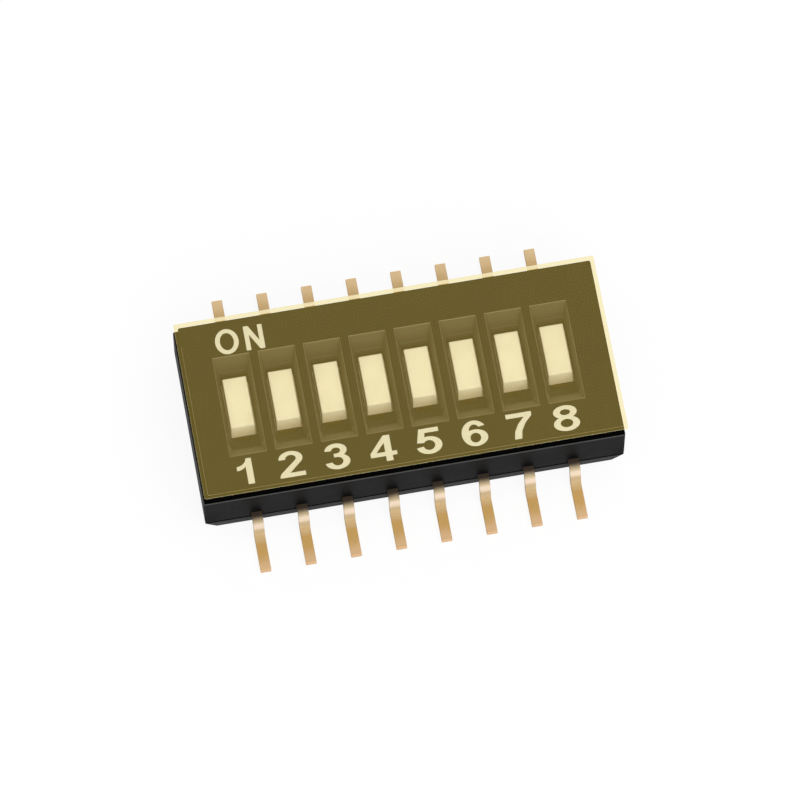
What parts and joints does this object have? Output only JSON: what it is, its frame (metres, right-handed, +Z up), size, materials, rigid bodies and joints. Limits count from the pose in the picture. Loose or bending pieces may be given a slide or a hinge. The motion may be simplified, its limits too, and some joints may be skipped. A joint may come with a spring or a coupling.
{
  "type": "dip switch",
  "caption": "Low surface-mount switch block: a row of slide switches under a windowed cover, sealed by a clear amber film, with gull-wing leads.",
  "frame": {"origin": "centre of the footprint at the board, under the feet", "axes": "+X along the row from switch 1 to switch 8, +Y towards the ON side, +Z up from the board"},
  "size_m": [0.0119, 0.0082, 0.0025],
  "materials": {
    "cover_plastic": "fine matt moulded black glass-filled plastic",
    "base_plastic": "matt moulded dark grey plastic",
    "film": "thin clear amber film, smooth and glossy",
    "lead_gold": "satin gold-plated copper strip",
    "knob_plastic": "smooth white moulded plastic",
    "contact_gold": "gold-plated spring strip",
    "print_ink": "flat white printing ink"
  },
  "bodies": {
    "housing": {"cover": "cover_plastic", "base": "base_plastic", "seal_tape": "film", "terminal_1": "lead_gold", "terminal_2": "lead_gold", "terminal_3": "lead_gold", "terminal_4": "lead_gold", "terminal_5": "lead_gold", "terminal_6": "lead_gold", "terminal_7": "lead_gold", "terminal_8": "lead_gold", "terminal_9": "lead_gold", "terminal_10": "lead_gold", "terminal_11": "lead_gold", "terminal_12": "lead_gold", "terminal_13": "lead_gold", "terminal_14": "lead_gold", "terminal_15": "lead_gold", "terminal_16": "lead_gold"},
    "switch_1": {"slider_1": "knob_plastic", "wiper_1": "contact_gold"},
    "switch_2": {"slider_2": "knob_plastic", "wiper_2": "contact_gold"},
    "switch_3": {"slider_3": "knob_plastic", "wiper_3": "contact_gold"},
    "switch_4": {"slider_4": "knob_plastic", "wiper_4": "contact_gold"},
    "switch_5": {"slider_5": "knob_plastic", "wiper_5": "contact_gold"},
    "switch_6": {"slider_6": "knob_plastic", "wiper_6": "contact_gold"},
    "switch_7": {"slider_7": "knob_plastic", "wiper_7": "contact_gold"},
    "switch_8": {"slider_8": "knob_plastic", "wiper_8": "contact_gold"}
  },
  "joints": [
    {"name": "slide_1", "type": "slide", "parent": "housing", "child": "switch_1", "axis": [0, 1, 0], "range_m": [-0.0004, 0]},
    {"name": "slide_2", "type": "slide", "parent": "housing", "child": "switch_2", "axis": [0, 1, 0], "range_m": [-0.0004, 0]},
    {"name": "slide_3", "type": "slide", "parent": "housing", "child": "switch_3", "axis": [0, 1, 0], "range_m": [-0.0004, 0]},
    {"name": "slide_4", "type": "slide", "parent": "housing", "child": "switch_4", "axis": [0, 1, 0], "range_m": [-0.0004, 0]},
    {"name": "slide_5", "type": "slide", "parent": "housing", "child": "switch_5", "axis": [0, 1, 0], "range_m": [-0.0004, 0]},
    {"name": "slide_6", "type": "slide", "parent": "housing", "child": "switch_6", "axis": [0, 1, 0], "range_m": [-0.0004, 0]},
    {"name": "slide_7", "type": "slide", "parent": "housing", "child": "switch_7", "axis": [0, 1, 0], "range_m": [-0.0004, 0]},
    {"name": "slide_8", "type": "slide", "parent": "housing", "child": "switch_8", "axis": [0, 1, 0], "range_m": [-0.0004, 0]}
  ]
}
